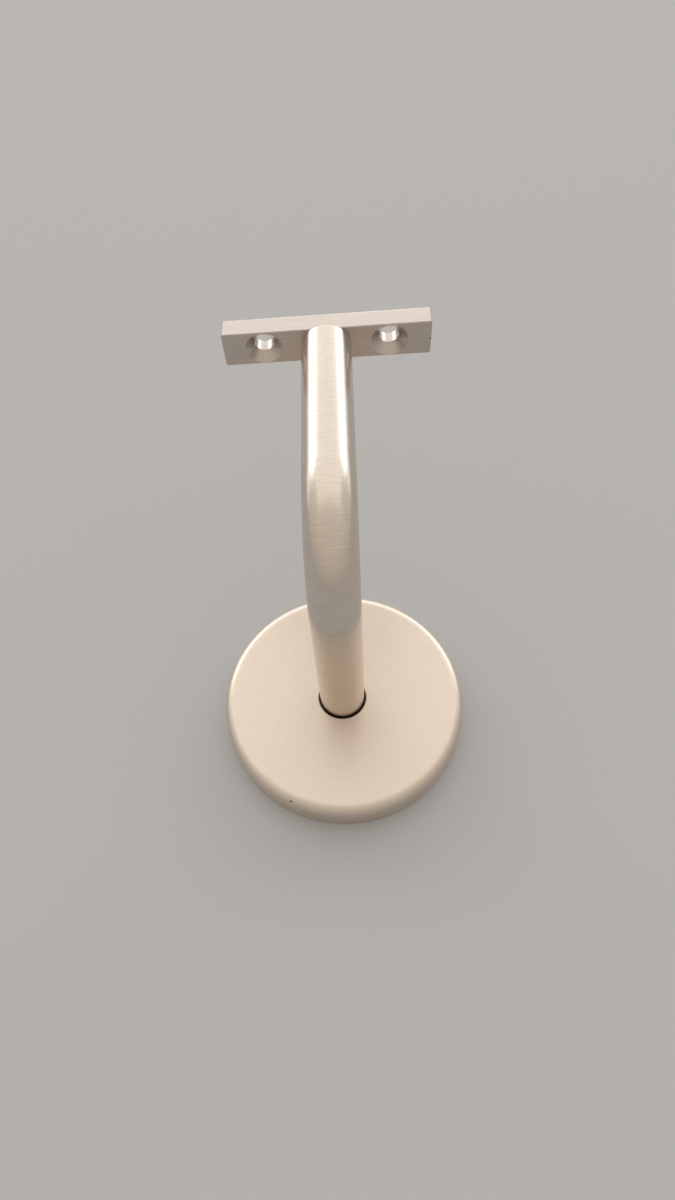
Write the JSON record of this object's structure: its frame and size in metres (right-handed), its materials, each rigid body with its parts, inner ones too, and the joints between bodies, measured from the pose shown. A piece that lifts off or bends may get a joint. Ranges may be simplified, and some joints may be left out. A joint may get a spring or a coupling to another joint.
{
  "type": "handrail bracket",
  "caption": "Stainless wall bracket for a handrail: a bent round bar between a screwed wall flange under a loose round cover and a short flat rail plate with countersunk holes.",
  "frame": {"origin": "centre of the wall flange's back face, which lies on the wall", "axes": "+Z along the wall's normal, away from the wall; +Y the way the arm bends towards the rail, up in use; +X along the rail"},
  "size_m": [0.076, 0.116, 0.097],
  "materials": {
    "satin_bar": "satin, its fine marks running round the bar",
    "satin_plate": "satin, ground along the plate",
    "satin_cover": "fine satin",
    "flange_steel": "plain mill finish",
    "weld_steel": "as welded"
  },
  "bodies": {
    "bracket": {"wall_flange": "flange_steel", "arm_bar": "satin_bar", "flange_weld_bead": "weld_steel", "rail_plate": "satin_plate"},
    "cover": {"cover_rosette": "satin_cover"}
  },
  "joints": [
    {"name": "cover_slide", "type": "slide", "parent": "bracket", "child": "cover", "axis": [0, 0, 1], "range_m": [0, 0.053]}
  ]
}
